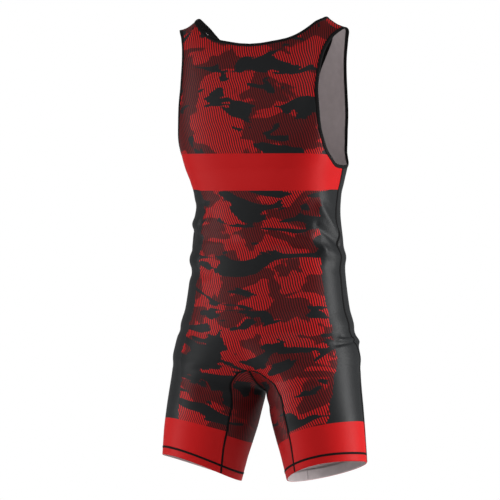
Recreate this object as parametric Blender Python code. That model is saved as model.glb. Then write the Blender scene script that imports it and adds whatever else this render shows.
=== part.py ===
"""A wrestling singlet in its worn shape, hollow, with nobody in it.

Blender 4.5, metres, +Z up. The front faces -Y, the wearer's left is +X. The origin lies midway
between the tops of the two shoulder straps, where the wearer's shoulders hold them.

The cloth is one smooth surface, cut along its seams. A point on it has two coordinates:
  down   millimetres of cloth below the top of the shoulder, measured down the side
  turn   degrees round the section: 0 at the side, 90 at the middle of the back, -90 at the middle
         of the front, and on a leg 180 at the inner thigh
Each panel is a grid in those two, from one seam to the next. Neighbours share the seam's points
and then draw back from it, which leaves the gap between them.
"""

import math
from collections import namedtuple

import bpy
import numpy as np
from mathutils import Vector

MM = 0.001

WALL = 1.6  # thickness of the cloth's wall
SEAM_GAP = 0.3  # between two pieces that are sewn together
NECK_TAPE, ARMHOLE_TAPE = 5.0, 6.0  # width of the folded tape round each opening
TAPE_EXTRA = 0.5  # how far the tape stands proud of each face of the cloth

UNDERARM_DOWN = 300.0  # cloth from the shoulder's top to the underarm section
UNDERARM_DROP = 280.0  # height from the shoulder's top to the underarm section
CREST_Y = 19.0  # the shoulder's top lies this far behind the trunk's middle
CREST = [  # (distance from the middle, height) of the shoulder's top, which falls outwards
    (0, 0), (118, 0), (125, -3.2), (131, -8), (138, -12.9), (146, -17.6), (154, -20.9),
    (165, -24.2), (180, -28),
]
BACK_ARCH, FRONT_ARCH = 2.3, 1.5  # how square the cloth turns over the shoulder: 2 is an ellipse
ARCH, ARCH_DEPTH = 2.1, 100.0  # a typical turn over the shoulder, for spacing rows along it
FORK_ROUNDING = 14.0  # rounds the cloth across the middle and between the legs

# One row for each section round the body, from the shoulder's top to the leg's hem. centre_x is
# 0 on the trunk, grows while the trunk divides, and is the leg's centre below. centre_y is
# measured back from the trunk's middle. back and front are depths from there. side_rise and
# back_rise are the slopes of the section's plane, up towards the side and up towards the back.
Section = namedtuple(
    "Section", "down centre_x centre_y half_width back front side_rise back_rise squareness"
)
SECTIONS = [
    Section(0, 0, 5, 170, 95, 103, 0, 0, 3.4),
    Section(60, 0, 5, 164, 98, 105, 0, 0, 3.6),
    Section(110, 0, 5, 160, 101, 106, 0, 0, 3.6),
    Section(170, 0, 5, 158, 104, 106, 0, 0, 3.6),
    Section(230, 0, 5, 155, 104, 101, 0, 0, 3.4),
    Section(270, 0, 5, 148, 103, 100, 0, 0, 3.2),
    Section(292, 0, 4, 142.5, 102, 100, 0, 0, 3.1),
    Section(318, 0, 1, 135.4, 97, 101, 0, 0, 2.9),
    Section(340, 0, 0, 132.5, 92, 98, 0, 0, 2.6),
    Section(373, 0, 0, 133.3, 86, 94, 0, 0, 2.4),
    Section(423, 0, -1, 139.2, 85, 90, 0, 0, 2.4),
    Section(484, 0, -2, 143.8, 92, 89, 0, 0, 2.4),
    Section(544, 0, -2, 152.5, 100, 91, 0, 0, 2.35),
    Section(580, 0, -1, 162.4, 104, 92, 0, 0, 2.3),
    Section(603, 30, 0, 138.2, 104, 92, 0.04, 0.01, 2.2),
    Section(626, 58, 1, 114.8, 101, 90, 0.11, 0.02, 2.1),
    Section(650, 82, 2, 94.8, 95, 88, 0.19, 0.04, 2.05),
    Section(672, 95.4, 4, 81.4, 88, 86, 0.25, 0.05, 2),
    Section(686, 97.3, 5.5, 81.2, 86.5, 85, 0.255, 0.06, 2),
    Section(711, 101.4, 8, 80.5, 84.5, 84, 0.26, 0.08, 2),
    Section(732, 105.2, 9.5, 79.7, 83, 83, 0.265, 0.1, 2),
    Section(760, 111, 11.5, 78, 78, 78, 0.27, 0.12, 2),
    Section(790, 117.3, 13, 75, 75, 75, 0.28, 0.14, 2),
    Section(834, 124.5, 14, 71, 71, 71, 0.28, 0.15, 2),
]
FORK_DOWN = 672.0  # where the legs part
HEM_DOWN = 834.0

SIDE_SEAM = [  # (down, turn) of the side seam, and above it of the armhole's middle
    (0, 0), (200, 0), (293.5, -4), (318, -5), (340, -4), (373, -1), (423, 0.6), (484, 0.4),
    (544, 1.7), (580, 1.5), (626, -5), (650, -6), (672, -4), (710, 2), (760, 1), (834, -7),
]
Edge = namedtuple("Edge", "down back front")
ARMHOLE_LOW = 293.5
ARMHOLE = [  # turns from its middle to the panel's edge
    Edge(0, 26, 26),
    Edge(20, 30.5, 21.8),
    Edge(44.5, 37.6, 27.8),
    Edge(77, 43, 35.9),
    Edge(107.6, 44.8, 41.2),
    Edge(147, 45.3, 45.4),
    Edge(185, 41.9, 47.3),
    Edge(223.6, 37.2, 47.2),
    Edge(262, 26, 42),
    Edge(280.5, 14.5, 32),
    Edge(293.5, 0, 0),
]
BACK_NECK_LOW, FRONT_NECK_LOW = 83.5, 176.0
BACK_NECK = [  # (down, half-width) of the back panel's edge
    (0, 129), (14, 128.4), (28, 124), (42, 114.6), (54, 104), (65, 89.5), (73, 71), (79.5, 38),
    (83.5, 0),
]
FRONT_NECK = [
    (0, 129), (12, 128.6), (25, 127), (42, 122), (66, 110), (90, 94), (112, 79), (134, 65),
    (154, 49), (168, 30), (176, 0),
]
ARCH_TOP = 645.5  # the gusset seam crosses the middle here
GUSSET_SEAM = [  # (down, turn) of the seam round the gusset, alike in front and behind
    (650, 126.4), (660, 127), (672, 126), (683, 124.6), (711, 124.4), (768, 126), (834, 131),
]
LEG_TWIST = {1: 12.5, -1: -12.5}  # the cloth of both legs has turned the same way round
HEM_TILT = {1: 0.02, -1: -0.06}  # added to each hem's back_rise
HEM_LIFT = 7.0  # how far the back of each hem rides up

PANEL_COLUMNS = 11  # across half a panel
GUSSET_COLUMNS = 12
ROWS = [  # down, closer together where an edge or a seam turns across them
    0, 9, 19, 30, 41, 52, 62, 70, 76.5, 81, 83.5, 89, 98, 108, 119, 130, 141, 151, 160, 167, 172.5,
    176, 180, 188, 198, 210, 223, 236, 249, 260, 269, 277, 284, 289.5, 293.5, 299, 307, 318, 331,
    345, 360, 376, 393, 410, 427, 444, 461, 478, 496, 515, 535, 556, 577, 597, 614, 628, 638, 645.5,
    648.5, 653, 659, 666, 672, 679, 688, 699, 712, 727, 743, 760, 778, 797, 816, 834,
]

# A soft ridge or trough from one point of the cloth to another, on the side that it names.
Fold = namedtuple("Fold", "side down turn to_down to_turn width height")
FOLDS = [
    Fold(-1, 364, 24, 419, -4, 11, 4.5),  # the right side of the waist, from the top
    Fold(-1, 396, 30, 428, 2, 8, -4),
    Fold(-1, 404, 60, 418, 42, 12, 2.5),
    Fold(-1, 418, 42, 440, 26, 11, 4.5),
    Fold(-1, 440, 26, 456, -6, 11, 4.5),
    Fold(-1, 428, 70, 449, 30, 13, -3),
    Fold(-1, 450, -12, 462, -50, 12, 3.5),
    Fold(-1, 597, 16, 597, -6, 6, -2.5),  # the right hip
    Fold(-1, 605, 20, 603, -10, 6, 2.5),
    Fold(-1, 616, 28, 609, -8, 6, -3.5),
    Fold(-1, 610, -20, 613, -60, 9, 3.5),
    Fold(1, 361, 15, 358, 60, 11, -2),  # the left side of the waist
    Fold(1, 378, 56, 412, 47, 9, 3),
    Fold(1, 393, 2, 393, 40, 10, 4),
    Fold(1, 417, 25, 417, 85, 10, -3.5),
    Fold(1, 455, 2, 460, 45, 13, 3.5),
    Fold(1, 482, 15, 484, 60, 9, -3),
    Fold(1, 398, -12, 424, -60, 12, 4),  # the front of the waist
    Fold(1, 430, -8, 456, -72, 12, -3.5),
    Fold(-1, 396, -35, 424, -72, 11, 3.5),
    Fold(-1, 428, -28, 450, -76, 12, -3),
    Fold(1, 604, 12, 600, -30, 8, -2.5),  # the left hip
    Fold(1, 697, 100, 694, 160, 9, -1.5),  # the thighs
    Fold(-1, 704, 120, 700, 170, 9, -1.5),
]


def eased(points, at):
    """A smooth curve through (at, value) points that never overshoots them."""
    xs = [p[0] for p in points]
    ys = [p[1] for p in points]
    slopes = [(ys[i + 1] - ys[i]) / (xs[i + 1] - xs[i]) for i in range(len(xs) - 1)]
    at = min(max(at, xs[0]), xs[-1])
    i = min(max(j for j in range(len(xs)) if xs[j] <= at), len(xs) - 2)

    def tangent(j):
        if j in (0, len(xs) - 1):
            return slopes[min(j, len(slopes) - 1)]
        a, b = slopes[j - 1], slopes[j]
        return 0.0 if a * b <= 0 else 2 * a * b / (a + b)

    width = xs[i + 1] - xs[i]
    s = (at - xs[i]) / width
    return (
        ys[i] * (1 + 2 * s) * (1 - s) ** 2
        + ys[i + 1] * s * s * (3 - 2 * s)
        + width * (tangent(i) * s * (1 - s) ** 2 - tangent(i + 1) * s * s * (1 - s))
    )


def column(table, name, at):
    return eased([(row.down, getattr(row, name)) for row in table], at)


def smooth(share):
    share = min(max(share, 0.0), 1.0)
    return share * share * (3 - 2 * share)


def arch_profile():
    """(down, rise) down the side of the shoulder: the rise is 1 at its top, 0 at the underarm."""
    power = 2 / ARCH
    angle = np.radians(np.linspace(90, 0, 181))
    rise = np.sin(angle) ** power
    away = ARCH_DEPTH * np.cos(angle).clip(0) ** power
    steps = np.hypot(np.diff(away), UNDERARM_DROP * np.diff(rise))
    length = np.concatenate([[0.0], np.cumsum(steps)])
    return length * UNDERARM_DOWN / length[-1], rise


ARCH_LENGTHS, ARCH_RISES = arch_profile()
CREST_XS = np.arange(0.0, 181.0)
CREST_ZS = np.array([eased(CREST, x) for x in CREST_XS])


def section_at(down):
    return Section(down, *(column(SECTIONS, name, down) for name in Section._fields[1:]))


def cloth(down, turns, side):
    """Points of the smooth cloth, as rows of (x, y, z), at one distance down on one side."""
    s = section_at(down)
    angle = np.radians(turns)
    cosine, sine, power = np.cos(angle), np.sin(angle), 2 / s.squareness
    x = s.centre_x + s.half_width * np.sign(cosine) * np.abs(cosine) ** power
    depth = np.where(sine > 0, s.back, s.front)
    y = s.centre_y + depth * np.sign(sine) * np.abs(sine) ** power
    if down < UNDERARM_DOWN:
        rise = float(np.interp(down, ARCH_LENGTHS, ARCH_RISES))
        arch = np.where(y > CREST_Y, BACK_ARCH, FRONT_ARCH)
        y = CREST_Y + (y - CREST_Y) * (1 - rise**arch) ** (1 / arch)
        crest = np.interp(x, CREST_XS, CREST_ZS)
        z = (crest + UNDERARM_DROP) * rise - UNDERARM_DROP
    else:
        z = UNDERARM_DOWN - UNDERARM_DROP - down
        leg = smooth((down - FORK_DOWN) / (HEM_DOWN - FORK_DOWN))
        back_rise = s.back_rise + HEM_TILT[side] * leg
        z = z + s.side_rise * (x - s.centre_x) + back_rise * (y - s.centre_y)
        z = z + HEM_LIFT * leg * np.maximum(sine, 0) ** 2
    rounding = middle_rounding(down)
    x = np.sqrt(np.maximum(x * x - rounding**2, 0)) * np.sign(x)
    return np.stack([side * x, y - CREST_Y, z], axis=-1)


def middle_rounding(down):
    return FORK_ROUNDING * smooth((down - 580) / 70)


def turn_of_x(down, x):
    """The turn at which a section reaches this distance from the middle."""
    s = section_at(down)
    share = (x - s.centre_x) / s.half_width
    cosine = np.sign(share) * min(abs(share), 1.0) ** (s.squareness / 2)
    return math.degrees(math.acos(cosine))


def middle_turn(down):
    return turn_of_x(down, middle_rounding(down))


def twist(down, side, start, length):
    return LEG_TWIST[side] * smooth((down - start) / length)


def side_turn(down, face, side):
    """The signed turn of a panel's outer edge: the armhole above, the side seam below."""
    middle = eased(SIDE_SEAM, down)
    if down >= ARMHOLE_LOW:
        return middle + twist(down, side, 600, 90)
    name = "back" if face > 0 else "front"
    squares = [(edge.down, getattr(edge, name) ** 2) for edge in ARMHOLE]
    return middle + face * math.sqrt(eased(squares, down))


def gusset_seam(down):
    """The turn of the gusset's seam before the leg's cloth turned. It starts out straight across."""
    first_down, first_turn = GUSSET_SEAM[0]
    if down >= first_down:
        return eased(GUSSET_SEAM, down)
    share = max(down - ARCH_TOP, 0) / (first_down - ARCH_TOP)
    start = middle_turn(ARCH_TOP)
    return start + (first_turn - start) * math.sqrt(share)


def gusset_twist(down, side):
    return twist(down, side, ARCH_TOP, 65)


def inner_turn(down, face, side):
    """The signed turn of a panel's inner edge: the neck, then the middle, then the gusset."""
    neck, low = (BACK_NECK, BACK_NECK_LOW) if face > 0 else (FRONT_NECK, FRONT_NECK_LOW)
    if down < low:
        half = math.sqrt(max(eased([(d, x * x) for d, x in neck], down), 0))
        return face * turn_of_x(down, half)
    if down <= ARCH_TOP:
        return face * middle_turn(down)
    return face * gusset_seam(down) + gusset_twist(down, side)


def spread(down, start, end, side, columns):
    """Turns that space a row's points evenly along the cloth."""
    fine = np.linspace(start, end, 8 * columns + 1)
    steps = np.linalg.norm(np.diff(cloth(down, fine, side), axis=0), axis=1)
    length = np.concatenate([[0.0], np.cumsum(steps)])
    return np.interp(np.linspace(0, length[-1], columns + 1), length, fine)


def panel_half(face, side):
    """One half of the back or the front: a grid of (down, turn), from the side inwards."""
    grid = []
    for down in ROWS:
        start, end = side_turn(down, face, side), inner_turn(down, face, side)
        grid.append([(down, turn) for turn in spread(down, start, end, side, PANEL_COLUMNS)])
    return np.array(grid)


def middle_down(share):
    """Where the gusset's column at this share of the way round leaves the middle."""
    low, high = ARCH_TOP, FORK_DOWN
    for _ in range(40):
        down = (low + high) / 2
        seam = gusset_seam(down)
        if (middle_turn(down) - seam) / (180 - seam) < share:
            low = down
        else:
            high = down
    return (low + high) / 2


def gusset_column(share, face, side):
    """From the middle down to the hem, at a share of the way from the seam to the inner thigh."""
    top = {0: ARCH_TOP, 1: FORK_DOWN}.get(share) or middle_down(share)
    points = []
    for row in ROWS[ROWS.index(ARCH_TOP):]:
        down = top + (HEM_DOWN - top) * (row - ARCH_TOP) / (HEM_DOWN - ARCH_TOP)
        seam, middle = gusset_seam(down), middle_turn(down)
        turn = middle if row == ARCH_TOP else seam + share * (180 - seam)
        held = (turn - seam) / max(middle - seam, 0.001)  # the middle doesn't turn with the leg
        points.append((down, face * turn + gusset_twist(down, side) * (1 - held)))
    return points


def gusset_grid(side):
    """The inner leg: its columns from the back seam round to the front seam."""
    half = GUSSET_COLUMNS // 2
    shares = [(j / half, 1) for j in range(half + 1)] + [(j / half, -1) for j in range(half)][::-1]
    return np.array([gusset_column(share, face, side) for share, face in shares])


def fold_height(down, turn, side):
    """How far the folds move a point of the cloth outwards."""
    total = 0.0
    radius = 130.0 if down < 640 else 80.0
    for fold in FOLDS:
        if fold.side != side:
            continue
        reach = fold.to_down - fold.down
        sweep = math.radians(fold.to_turn - fold.turn) * radius
        away = math.radians((turn - fold.turn + 180) % 360 - 180) * radius
        along = ((down - fold.down) * reach + away * sweep) / (reach**2 + sweep**2)
        along = min(max(along, 0.0), 1.0)
        gap = math.hypot(down - fold.down - along * reach, away - along * sweep)
        total += fold.height * math.exp(-((gap / fold.width) ** 2))
    if BACK_NECK_LOW <= down < FORK_DOWN:
        total *= smooth((middle_turn(down) - abs(turn)) / 12)
    return total


class Piece:
    """A piece of cloth as a grid of points in millimetres, with quads that face outwards."""

    def __init__(self, name):
        self.name = name
        self.points = []
        self.heights = []
        self.quads = []

    def add_grid(self, grid, side, flip, shared=None):
        """Adds a grid of (down, turn); shared holds the rows whose last point is already there."""
        rows, columns = grid.shape[:2]
        index = np.empty((rows, columns), int)
        for r in range(rows):
            for c in range(columns):
                if shared is not None and c == columns - 1 and r in shared:
                    index[r, c] = shared[r]
                    continue
                down, turn = grid[r, c]
                index[r, c] = len(self.points)
                self.points.append(cloth(down, np.array([turn]), side)[0])
                self.heights.append(fold_height(down, turn, side))
        for r in range(rows - 1):
            for c in range(columns - 1):
                quad = [index[r, c], index[r + 1, c], index[r + 1, c + 1], index[r, c + 1]]
                self.quads.append(quad[::-1] if flip else quad)
        return index


def make_panel(name, face):
    piece = Piece(name)
    left = piece.add_grid(panel_half(face, 1), 1, flip=face < 0)
    low = BACK_NECK_LOW if face > 0 else FRONT_NECK_LOW
    joined = {r: left[r, -1] for r, down in enumerate(ROWS) if low <= down <= ARCH_TOP}
    right = piece.add_grid(panel_half(face, -1), -1, flip=face > 0, shared=joined)
    piece.halves = {1: left, -1: right}
    return piece


def make_gusset(name, side):
    piece = Piece(name)
    piece.grid = piece.add_grid(gusset_grid(side), side, flip=side > 0)
    return piece


def point_normals(pieces):
    """Normals at every point, shared by pieces that meet there."""
    points = np.concatenate([p.points for p in pieces])
    offsets = np.cumsum([0] + [len(p.points) for p in pieces])
    quads = np.concatenate([np.array(p.quads) + o for p, o in zip(pieces, offsets)])
    corner = points[quads]
    across = np.cross(corner[:, 2] - corner[:, 0], corner[:, 3] - corner[:, 1])
    keys, index = np.unique(np.round(points, 3), axis=0, return_inverse=True)
    index = index.reshape(-1)
    total = np.zeros((len(keys), 3))
    for c in range(4):
        np.add.at(total, index[quads[:, c]], across)
    normals = total[index]
    normals /= np.linalg.norm(normals, axis=1, keepdims=True)
    return [normals[a:b] for a, b in zip(offsets, offsets[1:])]


def rim_edges(quads):
    """The directed edges that only one quad has, as {start: end}."""
    edges = {(q[i], q[(i + 1) % 4]) for q in quads for i in range(4)}
    return {a: b for a, b in edges if (b, a) not in edges}


def drawn_back(piece, points, normals):
    """Moves the rim half a seam gap into the piece."""
    moved = points.copy()
    rim = rim_edges(piece.quads)
    before = {b: a for a, b in rim.items()}
    for at, after in rim.items():
        tangent = points[after] - points[before[at]]
        inward = np.cross(normals[at], tangent)
        moved[at] = points[at] + inward / np.linalg.norm(inward) * SEAM_GAP / 2
    return moved


def add_solid(name, points, faces, material, collection):
    mesh = bpy.data.meshes.new(name)
    mesh.from_pydata([Vector(p) * MM for p in points], [], faces)
    mesh.polygons.foreach_set("use_smooth", [True] * len(mesh.polygons))
    mesh.materials.append(material)
    mesh.update()
    node = bpy.data.objects.new(name, mesh)
    collection.objects.link(node)
    return node


def add_shell(piece, points, normals, material, collection):
    """A wall of cloth: the piece's grid moved both ways, closed round its rim."""
    count = len(points)
    walls = np.concatenate([points + normals * WALL / 2, points - normals * WALL / 2])
    faces = [[int(i) for i in quad] for quad in piece.quads]
    faces += [[int(i) + count for i in quad[::-1]] for quad in piece.quads]
    for start, end in rim_edges(piece.quads).items():
        a, b = int(start), int(end)
        faces.append([b, a, a + count, b + count])
    return add_solid(piece.name, walls, faces, material, collection)


def add_binding(name, width, points, normals, outward, material, collection):
    """Tape folded over an edge: a closed ring, its section drawn across the edge's points."""
    near, far, thick = SEAM_GAP / 2, SEAM_GAP / 2 + width, WALL / 2 + TAPE_EXTRA
    section = [(near, thick), (far - 1, thick), (far, 0), (far - 1, -thick), (near, -thick)]
    ring = np.array([
        [p + a * o + b * n for a, b in section] for p, n, o in zip(points, normals, outward)
    ])
    count, size = len(points), len(section)
    faces = []
    for i in range(count):
        k = (i + 1) % count
        for j in range(size):
            m = (j + 1) % size
            faces.append([i * size + j, k * size + j, k * size + m, i * size + m])
    return add_solid(name, ring.reshape(-1, 3), faces, material, collection)


def opening_edge(piece, normals, side, at, low, upwards):
    """Points and normals along one half of a panel's edge, between the shoulder and its low end."""
    rows = [r for r, down in enumerate(ROWS) if down <= low]
    index = piece.halves[side][rows[::-1] if upwards else rows, at]
    return piece.points[index], normals[index]


def edge_ring(parts):
    """Points and normals along an opening, and the directions that lead into it."""
    points = np.concatenate([p for p, _ in parts])
    normals = np.concatenate([n for _, n in parts])
    keep = [i for i in range(len(points)) if np.linalg.norm(points[i] - points[i - 1]) > 1e-6]
    points, normals = points[keep], normals[keep]
    tangent = np.roll(points, -1, axis=0) - np.roll(points, 1, axis=0)
    outward = np.cross(normals, tangent)
    return points, normals, outward / np.linalg.norm(outward, axis=1, keepdims=True)


def make_material(name, colour):
    material = bpy.data.materials.new(name)
    material.use_nodes = True
    shader = material.node_tree.nodes["Principled BSDF"]
    shader.inputs["Base Color"].default_value = (*colour, 1)
    shader.inputs["Roughness"].default_value = 0.5
    return material


def main():
    for item in list(bpy.data.objects):
        bpy.data.objects.remove(item)
    collection = bpy.data.collections.new("wrestling_singlet")
    bpy.context.scene.collection.children.link(collection)

    back, front = make_panel("back_panel", 1), make_panel("front_panel", -1)
    gussets = [make_gusset("gusset_left", 1), make_gusset("gusset_right", -1)]
    pieces = [back, front, *gussets]
    for piece in pieces:
        piece.points = np.array(piece.points)
    smooth_normals = point_normals(pieces)
    for piece, normals in zip(pieces, smooth_normals):
        piece.points = piece.points + normals * np.array(piece.heights)[:, None]
    cloth_normals = point_normals(pieces)

    black = make_material("black_cloth", (0.012, 0.013, 0.014))
    red = make_material("red_print", (0.45, 0.012, 0.012))
    for piece, normals, material in zip(pieces, cloth_normals, (red, red, black, black)):
        points = drawn_back(piece, piece.points, normals)
        add_shell(piece, points, normals, material, collection)

    tape = make_material("binding_tape", (0.01, 0.01, 0.01))
    back_normals, front_normals = cloth_normals[:2]
    neck = [
        opening_edge(back, back_normals, 1, -1, BACK_NECK_LOW, upwards=False),
        opening_edge(back, back_normals, -1, -1, BACK_NECK_LOW, upwards=True),
        opening_edge(front, front_normals, -1, -1, FRONT_NECK_LOW, upwards=False),
        opening_edge(front, front_normals, 1, -1, FRONT_NECK_LOW, upwards=True),
    ]
    add_binding("neck_binding", NECK_TAPE, *edge_ring(neck), tape, collection)
    for side, name in ((1, "armhole_binding_left"), (-1, "armhole_binding_right")):
        armhole = [
            opening_edge(back, back_normals, side, 0, ARMHOLE_LOW, upwards=side > 0),
            opening_edge(front, front_normals, side, 0, ARMHOLE_LOW, upwards=side < 0),
        ]
        add_binding(name, ARMHOLE_TAPE, *edge_ring(armhole), tape, collection)


main()
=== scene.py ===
# %% [markdown]
# # A wrestling singlet
#
# This suit is cut from thin stretch knit and stands in its worn shape with nobody in it. The
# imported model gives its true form. This script dresses that form: finer cloth, softer creases, a
# printed pattern, folded tape round the openings, flat seams and stitched hems.

import math
from collections import namedtuple

import bmesh
import bpy
import numpy as np
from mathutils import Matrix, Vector


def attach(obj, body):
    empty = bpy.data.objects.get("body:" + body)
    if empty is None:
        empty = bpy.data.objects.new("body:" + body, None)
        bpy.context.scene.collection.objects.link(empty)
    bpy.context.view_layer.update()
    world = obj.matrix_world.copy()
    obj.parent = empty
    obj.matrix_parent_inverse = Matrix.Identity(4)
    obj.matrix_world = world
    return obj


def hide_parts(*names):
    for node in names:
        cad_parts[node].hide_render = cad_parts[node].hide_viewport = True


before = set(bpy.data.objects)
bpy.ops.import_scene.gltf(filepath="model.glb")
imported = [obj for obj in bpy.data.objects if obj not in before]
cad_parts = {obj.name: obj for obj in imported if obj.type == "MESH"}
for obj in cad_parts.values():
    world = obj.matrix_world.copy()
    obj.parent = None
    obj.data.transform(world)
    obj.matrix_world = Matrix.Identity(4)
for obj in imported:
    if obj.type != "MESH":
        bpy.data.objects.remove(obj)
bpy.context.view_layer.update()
MM = 0.001
print("the packed model has", len(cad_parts), "nodes")

# %% [markdown]
# ## Camera, floor and light
#
# A long lens from far off keeps the garment's sides parallel, as on a catalogue page. The garment
# hangs from its straps, so the floor lies a little below the hems. Two tall soft lights stand at
# its sides, because a satin knit only shows its sheen where light grazes it, and the right one is
# the stronger. Two small lamps low down reach the legs, and a weak light near the camera fills the
# middle. The pale room looks white but lights the cloth only dimly, or black cloth would turn grey.

# %% Camera
AZIMUTH, ELEVATION, DISTANCE = 205.0, 0.7, 8.0
AIM = Vector((0, -0.019, -0.42))
SIDEWAYS = 0.0311  # the garment stands this far to the right of the frame's middle


def towards(azimuth, elevation):
    a, e = math.radians(azimuth), math.radians(elevation)
    return Vector((math.sin(a) * math.cos(e), -math.cos(a) * math.cos(e), math.sin(e)))


def looking_at(thing, place, target):
    thing.location = place
    thing.rotation_euler = (target - place).to_track_quat("-Z", "Y").to_euler()
    bpy.context.scene.collection.objects.link(thing)


back_to_camera = towards(AZIMUTH, ELEVATION)
right_of_camera = (-back_to_camera).cross(Vector((0, 0, 1))).normalized()
aim = AIM - right_of_camera * SIDEWAYS
camera = bpy.data.objects.new("camera", bpy.data.cameras.new("camera"))
camera.data.sensor_width, camera.data.lens = 36, 320
looking_at(camera, aim + back_to_camera * DISTANCE, aim)
bpy.context.scene.camera = camera
print("camera at", [round(v, 2) for v in camera.location])


# %% Lights and the pale room
def soft_light(name, azimuth, elevation, distance, size, watts):
    lamp = bpy.data.lights.new(name, "AREA")
    lamp.shape, lamp.size, lamp.size_y, lamp.energy = "RECTANGLE", *size, watts
    looking_at(bpy.data.objects.new(name, lamp), AIM + towards(azimuth, elevation) * distance, AIM)


soft_light("left_softbox", AZIMUTH - 80, 8, 2.0, (0.8, 2.0), 19)
soft_light("right_softbox", AZIMUTH + 80, 8, 2.0, (0.8, 2.0), 42)
soft_light("low_left_lamp", AZIMUTH - 88, -30, 1.1, (0.5, 0.3), 2.4)
soft_light("low_right_lamp", AZIMUTH + 75, -30, 1.1, (0.5, 0.3), 2.9)
soft_light("front_fill", AZIMUTH - 10, 30, 2.6, (1.6, 1.6), 12)

AMBIENT = 0.26  # the room's light on the cloth; the camera sees the room at full white
world = bpy.data.worlds.new("pale_studio")
world.use_nodes = True
sky = world.node_tree.nodes["Background"]
sky.inputs["Color"].default_value = (1, 1, 1, 1)
ray = world.node_tree.nodes.new("ShaderNodeLightPath")
strength = world.node_tree.nodes.new("ShaderNodeMapRange")
strength.inputs["To Min"].default_value = AMBIENT
strength.inputs["To Max"].default_value = 1.0
world.node_tree.links.new(ray.outputs["Is Camera Ray"], strength.inputs["Value"])
world.node_tree.links.new(strength.outputs["Result"], sky.inputs["Strength"])
bpy.context.scene.world = world
bpy.context.scene.view_settings.view_transform = "Standard"
print(len(bpy.data.lights), "soft lights in a pale room")

# %% Floor
FLOOR_Z, FLOOR_RADIUS = -1.0, 1.5

bm = bmesh.new()
bmesh.ops.create_circle(bm, cap_ends=True, segments=96, radius=FLOOR_RADIUS)
floor_mesh = bpy.data.meshes.new("floor")
bm.to_mesh(floor_mesh)
bm.free()
floor = bpy.data.objects.new("floor", floor_mesh)
floor.location.z = FLOOR_Z
bpy.context.scene.collection.objects.link(floor)
paint = bpy.data.materials.new("pale_floor")
paint.use_nodes = True
paint_shader = paint.node_tree.nodes["Principled BSDF"]
paint_shader.inputs["Base Color"].default_value = (0.85, 0.85, 0.85, 1)
paint_shader.inputs["Roughness"].default_value = 0.8
floor_mesh.materials.append(paint)

# %% [markdown]
# ## The cloth's form
#
# A body-shaped tube isn't modelled freehand. A short table gives the section at each distance down
# the cloth, and smooth curves run between its rows. A squareness of 2 makes a section an oval, and
# more makes it squarer. A point of the cloth then has two coordinates, `down` in millimetres and
# `turn` in degrees round the section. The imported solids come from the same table, so both forms
# agree.

# %% Sizes of the form, in millimetres
SIDES = {1: "left", -1: "right"}
UNDERARM_DOWN, UNDERARM_DROP = 300.0, 280.0  # from the crest: along the cloth, and straight down
CREST_Y = 19.0  # how far back the shoulder's crest lies
CREST = [  # how the crest falls towards the arm: (distance from the middle, height)
    (0, 0), (118, 0), (125, -3.2), (131, -8), (138, -12.9), (146, -17.6), (154, -20.9),
    (165, -24.2), (180, -28),
]
BACK_ARCH, FRONT_ARCH = 2.3, 1.5  # how fully the shoulder rounds over, behind and in front
ARCH, ARCH_DEPTH = 2.1, 100.0  # these only space the rows over the shoulder
FORK_DOWN, HEM_DOWN, FORK_ROUNDING = 672.0, 834.0, 14.0
ROUNDING_FROM, ROUNDING_OVER = 580.0, 70.0  # where that rounding starts, and how long it grows
LEG_TWIST = {1: 12.5, -1: -12.5}
HEM_TILT = {1: 0.02, -1: -0.06}
HEM_LIFT = 7.0

Section = namedtuple(
    "Section", "down centre_x centre_y half_width back front side_rise back_rise squareness"
)
SECTIONS = [
    Section(0, 0, 5, 170, 95, 103, 0, 0, 3.4),
    Section(60, 0, 5, 164, 98, 105, 0, 0, 3.6),
    Section(110, 0, 5, 160, 101, 106, 0, 0, 3.6),
    Section(170, 0, 5, 158, 104, 106, 0, 0, 3.6),
    Section(230, 0, 5, 155, 104, 101, 0, 0, 3.4),
    Section(270, 0, 5, 148, 103, 100, 0, 0, 3.2),
    Section(292, 0, 4, 142.5, 102, 100, 0, 0, 3.1),
    Section(318, 0, 1, 135.4, 97, 101, 0, 0, 2.9),
    Section(340, 0, 0, 132.5, 92, 98, 0, 0, 2.6),
    Section(373, 0, 0, 133.3, 86, 94, 0, 0, 2.4),
    Section(423, 0, -1, 139.2, 85, 90, 0, 0, 2.4),
    Section(484, 0, -2, 143.8, 92, 89, 0, 0, 2.4),
    Section(544, 0, -2, 152.5, 100, 91, 0, 0, 2.35),
    Section(580, 0, -1, 162.4, 104, 92, 0, 0, 2.3),
    Section(603, 30, 0, 138.2, 104, 92, 0.04, 0.01, 2.2),
    Section(626, 58, 1, 114.8, 101, 90, 0.11, 0.02, 2.1),
    Section(650, 82, 2, 94.8, 95, 88, 0.19, 0.04, 2.05),
    Section(672, 95.4, 4, 81.4, 88, 86, 0.25, 0.05, 2),
    Section(686, 97.3, 5.5, 81.2, 86.5, 85, 0.255, 0.06, 2),
    Section(711, 101.4, 8, 80.5, 84.5, 84, 0.26, 0.08, 2),
    Section(732, 105.2, 9.5, 79.7, 83, 83, 0.265, 0.1, 2),
    Section(760, 111, 11.5, 78, 78, 78, 0.27, 0.12, 2),
    Section(790, 117.3, 13, 75, 75, 75, 0.28, 0.14, 2),
    Section(834, 124.5, 14, 71, 71, 71, 0.28, 0.15, 2),
]
print(len(SECTIONS), "sections from the straps to the hems")


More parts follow.
